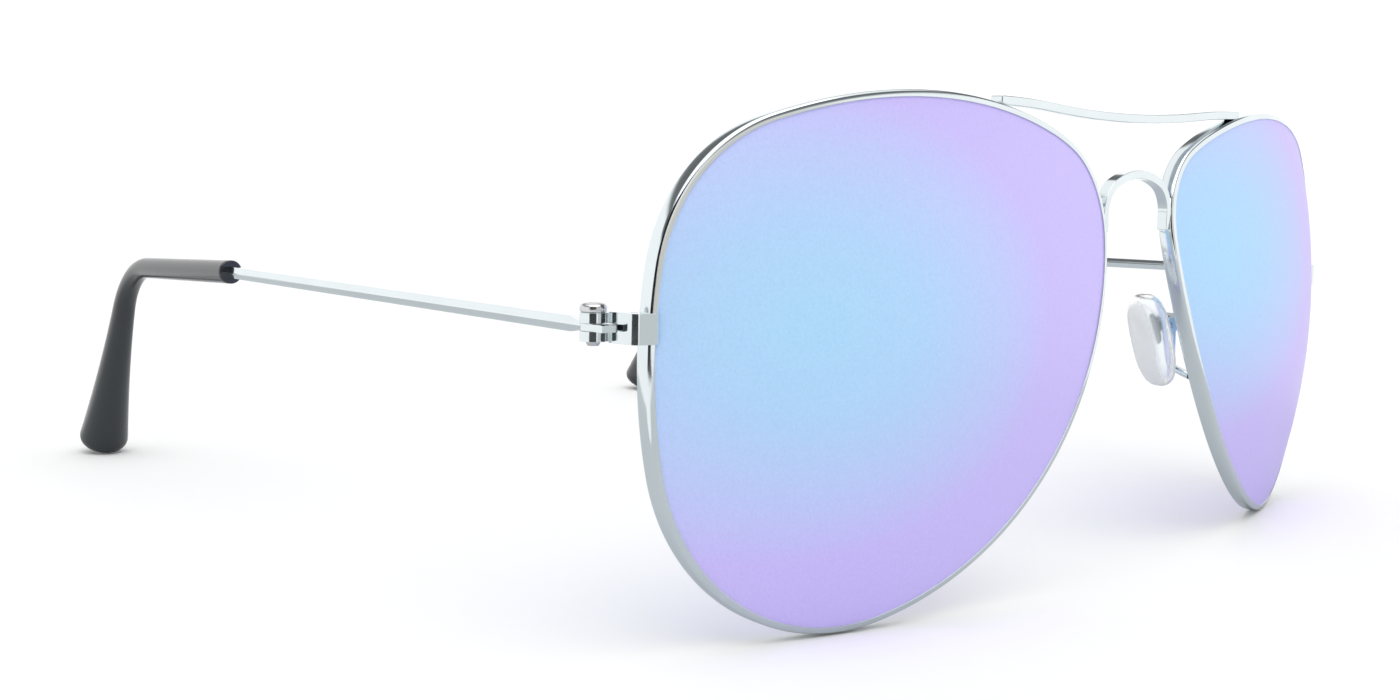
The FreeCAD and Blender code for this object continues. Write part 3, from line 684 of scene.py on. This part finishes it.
def sweep_tree():
    """A node group that sweeps a round section along a line, as wide as its points say."""
    tree = bpy.data.node_groups.new("round_sweep", "GeometryNodeTree")
    tree.interface.new_socket("Line", in_out="INPUT", socket_type="NodeSocketGeometry")
    tree.interface.new_socket("Sides", in_out="INPUT", socket_type="NodeSocketInt")
    tree.interface.new_socket("Surface", in_out="INPUT", socket_type="NodeSocketMaterial")
    tree.interface.new_socket("Geometry", in_out="OUTPUT", socket_type="NodeSocketGeometry")
    nodes, link = tree.nodes, tree.links.new
    given = nodes.new("NodeGroupInput")
    curve = nodes.new("GeometryNodeMeshToCurve")
    width = nodes.new("GeometryNodeInputNamedAttribute")
    width.data_type = "FLOAT"
    width.inputs["Name"].default_value = "width"
    circle = nodes.new("GeometryNodeCurvePrimitiveCircle")
    circle.inputs["Radius"].default_value = 1.0
    sweep = nodes.new("GeometryNodeCurveToMesh")
    sweep.inputs["Fill Caps"].default_value = True
    smooth = nodes.new("GeometryNodeSetShadeSmooth")
    real = nodes.new("GeometryNodeRealizeInstances")
    paint = nodes.new("GeometryNodeSetMaterial")
    out = nodes.new("NodeGroupOutput")
    link(given.outputs["Line"], curve.inputs["Mesh"])
    link(given.outputs["Sides"], circle.inputs["Resolution"])
    link(circle.outputs["Curve"], sweep.inputs["Profile Curve"])
    if "Scale" in sweep.inputs:
        link(curve.outputs["Curve"], sweep.inputs["Curve"])
        link(width.outputs["Attribute"], sweep.inputs["Scale"])
    else:
        spread = nodes.new("GeometryNodeSetCurveRadius")
        link(curve.outputs["Curve"], spread.inputs["Curve"])
        link(width.outputs["Attribute"], spread.inputs["Radius"])
        link(spread.outputs["Curve"], sweep.inputs["Curve"])
    link(sweep.outputs["Mesh"], smooth.inputs["Geometry"])
    link(smooth.outputs["Geometry"], real.inputs["Geometry"])
    link(real.outputs["Geometry"], paint.inputs["Geometry"])
    link(given.outputs["Surface"], paint.inputs["Material"])
    link(paint.outputs["Geometry"], out.inputs["Geometry"])
    return tree


def socket_key(tree, name):
    return next(item.identifier for item in tree.interface.items_tree
                if item.name == name and item.in_out == "INPUT")


def round_sweep(name, points, widths, sides, surface, tree):
    """A plain mesh swept along the points."""
    mesh = bpy.data.meshes.new(name)
    mesh.from_pydata(points, [(i, i + 1) for i in range(len(points) - 1)], [])
    mesh.attributes.new("width", "FLOAT", "POINT").data.foreach_set("value", widths)
    line = bpy.data.objects.new(name + "_line", mesh)
    bpy.context.scene.collection.objects.link(line)
    modifier = line.modifiers.new("sweep", "NODES")
    modifier.node_group = tree
    modifier[socket_key(tree, "Sides")] = sides
    modifier[socket_key(tree, "Surface")] = surface
    graph = bpy.context.evaluated_depsgraph_get()
    result = bpy.data.meshes.new_from_object(line.evaluated_get(graph))
    bpy.data.objects.remove(line)
    work = bmesh.new()
    work.from_mesh(result)
    bmesh.ops.remove_doubles(work, verts=work.verts, dist=1e-7)
    bmesh.ops.recalc_face_normals(work, faces=work.faces)
    work.to_mesh(result)
    work.free()
    piece = bpy.data.objects.new(name, result)
    bpy.context.scene.collection.objects.link(piece)
    return piece


def tip_line(step=0.45):
    """Points along the sleeve's middle as (along, up), and how far along it the bend's middle is."""
    fall = TIP_CORNER[1] / (TIP_CORNER[0] - TEMPLE_STRAIGHT)
    start = Vector((TIP_START, fall * (TIP_START - TEMPLE_STRAIGHT)))
    corner, end = Vector(TIP_CORNER), Vector(TIP_END)
    run, drop = (corner - start).normalized(), (end - corner).normalized()
    turn = run.angle(drop)
    reach = TIP_BEND * math.tan(turn / 2)
    bend_start, bend_end = corner - run * reach, corner + drop * reach
    centre = bend_start + Vector((run.y, -run.x)) * TIP_BEND
    points = []

    def straight(a, b):
        count = max(2, round((b - a).length / step))
        points.extend(a.lerp(b, i / count) for i in range(count))

    straight(start, bend_start)
    arc = max(4, round(TIP_BEND * turn / step))
    spoke = bend_start - centre
    for i in range(arc):
        angle = -turn * i / arc
        points.append(centre + Vector((spoke.x * math.cos(angle) - spoke.y * math.sin(angle),
                                       spoke.x * math.sin(angle) + spoke.y * math.cos(angle))))
    straight(bend_end, end)
    points.append(end)
    return points, (bend_start - start).length + TIP_BEND * turn / 2


class GLASSES_OT_tips(bpy.types.Operator):
    """Sweep the plastic sleeves that hook behind the ears"""
    bl_idname = "glasses.tips"
    bl_label = "Temple tips"

    def execute(self, context):
        props = context.scene.glasses_tip
        surface = satin_plastic("sleeve_plastic", props.colour, props.light)
        tree = sweep_tree()
        line, bend_at = tip_line()
        travelled = [0.0]
        for a, b in zip(line, line[1:]):
            travelled.append(travelled[-1] + (b - a).length)
        total = travelled[-1]
        cap = props.end / MM * CAP_LENGTH
        fine = [total - cap * (1 - math.sin(math.pi / 2 * i / 9)) for i in range(10)]
        kept = [(p, d) for p, d in zip(line, travelled) if d < total - cap - 0.2]
        drop = (line[-1] - line[-2]).normalized()
        kept += [(line[-1] - drop * (total - d), d) for d in fine]
        points, widths = [], []
        along = Vector((-math.sin(SPLAY), math.cos(SPLAY), 0))
        hinge = Vector((HINGE_X, HINGE_BACK, HINGE_RISE))
        for (a, z), d in kept:
            points.append(hinge + along * a + Vector((0, 0, z)))
            if d < bend_at:
                width = props.mouth + (props.bend - props.mouth) * d / bend_at
            else:
                share = (d - bend_at) / (total - bend_at)
                width = props.bend + (props.end - props.bend) * share ** TIP_FLARE
            if d > total - cap:
                share = (d - total + cap) / cap
                width *= CAP_FLAT + (1 - CAP_FLAT) * math.sqrt(max(0.0, 1 - share ** 2))
            widths.append(width)
        points.insert(0, points[0])
        widths.insert(0, widths[0] * MOUTH_EASE)
        for side in SIDES:
            placed = [side_matrix(side) @ p for p in points]
            tip = round_sweep("sleeve_" + side, placed, widths, props.sides, surface, tree)
            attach(tip, "temple_arm_" + side)
            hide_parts("temple_tip_" + side)
        return {"FINISHED"}


class GLASSES_OT_pads(bpy.types.Operator):
    """Shape the clear nose pads and finish their cores"""
    bl_idname = "glasses.pads"
    bl_label = "Nose pads"

    def execute(self, context):
        props = context.scene.glasses_pad
        surface = clear_silicone("pad_silicone", props.colour)
        inward = Vector((-math.cos(PAD_SPLAY) * math.cos(PAD_TILT),
                         math.sin(PAD_SPLAY) * math.cos(PAD_TILT), -math.sin(PAD_TILT)))
        across = Vector((0, 0, 1)).cross(inward).normalized()
        up = inward.cross(across)
        axes = Matrix((inward, across, up)).transposed().to_4x4()
        place = Matrix.Translation(PAD_CENTRE) @ axes
        half = props.length / MM / 2, props.width / MM / 2, props.thickness / MM / 2

        def power(value, exponent):
            return math.copysign(abs(value) ** exponent, value)

        rings, count, layers = [], 64, 28
        for i in range(1, layers):
            level = math.pi * i / layers - math.pi / 2
            ring = []
            for j in range(count):
                angle = 2 * math.pi * j / count
                reach = power(math.cos(level), 0.5)
                tall = power(math.sin(angle), PAD_SQUARENESS) * reach
                wide = power(math.cos(angle), PAD_SQUARENESS) * reach
                thick = power(math.sin(level), 0.7)
                ring.append((half[2] * thick, half[1] * wide * (1 + 0.05 * tall), half[0] * tall))
            rings.append(ring)
        vertices, faces = swept(rings)
        steel = polished_plate("core_steel", (0.42, 0.43, 0.44), (0.34, 0.35, 0.36), 0.3)
        for side in SIDES:
            pad = new_piece("soft_pad_" + side, vertices, faces, side_matrix(side) @ place, surface, 80)
            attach(pad, "pad_" + side)
            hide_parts("nose_pad_" + side)
            finished_copy("pad_core_" + side, "pad_" + side, steel, 0.00004)
        return {"FINISHED"}


class GLASSES_OT_stage(bpy.types.Operator):
    """Lay the floor and set the light and camera"""
    bl_idname = "glasses.stage"
    bl_label = "Floor, light and camera"

    def execute(self, context):
        scene = context.scene
        props = scene.glasses_stage
        s = Surface("studio_floor")
        grain = s.noise(s.place(), 260.0, 3.0)
        worn = rgba([c * 0.98 for c in props.floor])
        paint = s.principled(Base_Color=s.mix(grain, rgba(props.floor), worn), Roughness=0.7)
        mesh = bpy.data.meshes.new("studio_floor")
        signs = ((-1, -1), (1, -1), (1, 1), (-1, 1))
        corners = [(x * FLOOR_REACH, y * FLOOR_REACH, FLOOR_LEVEL) for x, y in signs]
        mesh.from_pydata(corners, [], [(0, 1, 2, 3)])
        mesh.materials.append(paint)
        floor = bpy.data.objects.new("studio_floor", mesh)
        scene.collection.objects.link(floor)

        world = bpy.data.worlds.new("soft_studio")
        scene.world = world
        sky = Surface("soft_studio", world)
        way = sky.node("ShaderNodeTexCoord", output="Generated")
        height = sky.node("ShaderNodeSeparateXYZ", None, {0: way}, "Z")
        level = sky.node("ShaderNodeValToRGB", {"stops": [
            (0.0, (1.0, 1.0, 1.0)), (0.44, (1.0, 1.0, 1.0)), (0.50, (0.16, 0.165, 0.17)),
            (0.66, (0.12, 0.125, 0.13)), (0.74, (0.95, 0.95, 0.95)), (1.0, (1.0, 1.0, 1.0))]},
            {"Fac": height})
        front = sky.node("ShaderNodeVectorMath", {"operation": "DOT_PRODUCT"},
                         {0: way, 1: (0.087, -0.996, 0.0)}, "Value")
        wall = sky.node("ShaderNodeMapRange", {"interpolation_type": "SMOOTHSTEP"},
                        {"Value": front, "From Min": 0.84, "From Max": 0.93})
        level = sky.mix(wall, level, rgba(props.wall))
        glow = sky.node("ShaderNodeBackground", None, {"Color": level, "Strength": props.sky})
        sky.node("ShaderNodeOutputWorld", None, {"Surface": glow})

        sun = bpy.data.lights.new("soft_key", "SUN")
        sun.energy = props.key
        sun.angle = math.radians(70)
        lamp = bpy.data.objects.new("soft_key", sun)
        lamp.rotation_euler = (math.radians(22), math.radians(-14), 0)
        scene.collection.objects.link(lamp)
        self.flag(scene)
        self.mat(scene)

        camera = bpy.data.cameras.new("camera")
        camera.lens = 44.4
        camera.sensor_width = 36
        camera.sensor_fit = "HORIZONTAL"
        camera.clip_start = 0.01
        camera.clip_end = 50
        eye = bpy.data.objects.new("camera", camera)
        turn, rise, roll = (math.radians(a) for a in (CAMERA_TURN, CAMERA_RISE, CAMERA_ROLL))
        back = Vector((math.sin(turn) * math.cos(rise), -math.cos(turn) * math.cos(rise), math.sin(rise)))
        level = back.to_track_quat("Z", "Y").to_matrix().to_4x4()
        lean = STAND.to_3x3().normalized().to_4x4()
        place = Matrix.Translation(STAND @ Vector(CAMERA_PLACE))
        eye.matrix_world = place @ lean @ level @ Matrix.Rotation(roll, 4, "Z")
        scene.collection.objects.link(eye)
        scene.camera = eye
        scene.view_settings.view_transform = "Standard"
        return {"FINISHED"}

    def flag(self, scene):
        """A dark wall and floor strip that only reflections see, so bright metal shows its form."""
        vertices, faces = [], []
        low, high = (math.radians(a) for a in FLAG_ANGLES)
        for i in range(FLAG_STEPS + 1):
            angle = low + (high - low) * i / FLAG_STEPS
            out = Vector((math.sin(angle), -math.cos(angle), 0))
            vertices += [out * FLAG_NEAR + Vector((0, 0, FLAG_LEVEL)),
                         out * FLAG_FAR + Vector((0, 0, FLAG_LEVEL)),
                         out * FLAG_FAR + Vector((0, 0, FLAG_TOP))]
        for i in range(FLAG_STEPS):
            a = 3 * i
            faces += [(a, a + 3, a + 4, a + 1), (a + 1, a + 4, a + 5, a + 2)]
        self.card(scene, "dark_flag", vertices, faces, (0.01, 0.01, 0.01))

    def mat(self, scene):
        """A grey mat under the glasses that only reflections see, for the undersides."""
        places = ((-0.11, -1.2), (0.25, -1.2), (0.11, 0.1), (-0.11, 0.1))
        corners = [(x, y, MAT_LEVEL) for x, y in places]
        self.card(scene, "grey_mat", corners, [(0, 1, 2, 3)], (0.56, 0.58, 0.59))

    def card(self, scene, name, vertices, faces, colour):
        surface = Surface(name).principled(Base_Color=rgba(colour), Roughness=1.0)
        mesh = bpy.data.meshes.new(name)
        mesh.from_pydata(vertices, [], faces)
        mesh.materials.append(surface)
        card = bpy.data.objects.new(name, mesh)
        scene.collection.objects.link(card)
        card.visible_camera = False
        card.visible_diffuse = False
        card.visible_shadow = False
        card.visible_transmission = False


# ---------------------------------------------------------------- panel and registration

STEPS = (GLASSES_OT_rims, GLASSES_OT_lenses, GLASSES_OT_metalwork, GLASSES_OT_screws,
         GLASSES_OT_temples, GLASSES_OT_tips, GLASSES_OT_pads, GLASSES_OT_stage)
GROUPS = (("glasses_metal", MetalSettings), ("glasses_lens", LensSettings),
          ("glasses_tip", TipSettings), ("glasses_pad", PadSettings),
          ("glasses_stage", StageSettings))


class GLASSES_PT_build(bpy.types.Panel):
    """The build steps and their settings"""
    bl_idname = "GLASSES_PT_build"
    bl_label = "Sunglasses"
    bl_space_type = "VIEW_3D"
    bl_region_type = "UI"
    bl_category = "Sunglasses"

    def draw(self, context):
        for step in STEPS:
            self.layout.operator(step.bl_idname)
        for name, group in GROUPS:
            box = self.layout.box()
            for field in group.__annotations__:
                box.prop(getattr(context.scene, name), field)


def register():
    for name, group in GROUPS:
        bpy.utils.register_class(group)
        setattr(bpy.types.Scene, name, PointerProperty(type=group))
    for kind in (*STEPS, GLASSES_PT_build):
        bpy.utils.register_class(kind)


def unregister():
    for kind in (GLASSES_PT_build, *reversed(STEPS)):
        bpy.utils.unregister_class(kind)
    for name, group in reversed(GROUPS):
        delattr(bpy.types.Scene, name)
        bpy.utils.unregister_class(group)


def main():
    register()
    for step in STEPS:
        group, name = step.bl_idname.split(".")
        getattr(getattr(bpy.ops, group), name)()


if __name__ == "__main__":
    main()
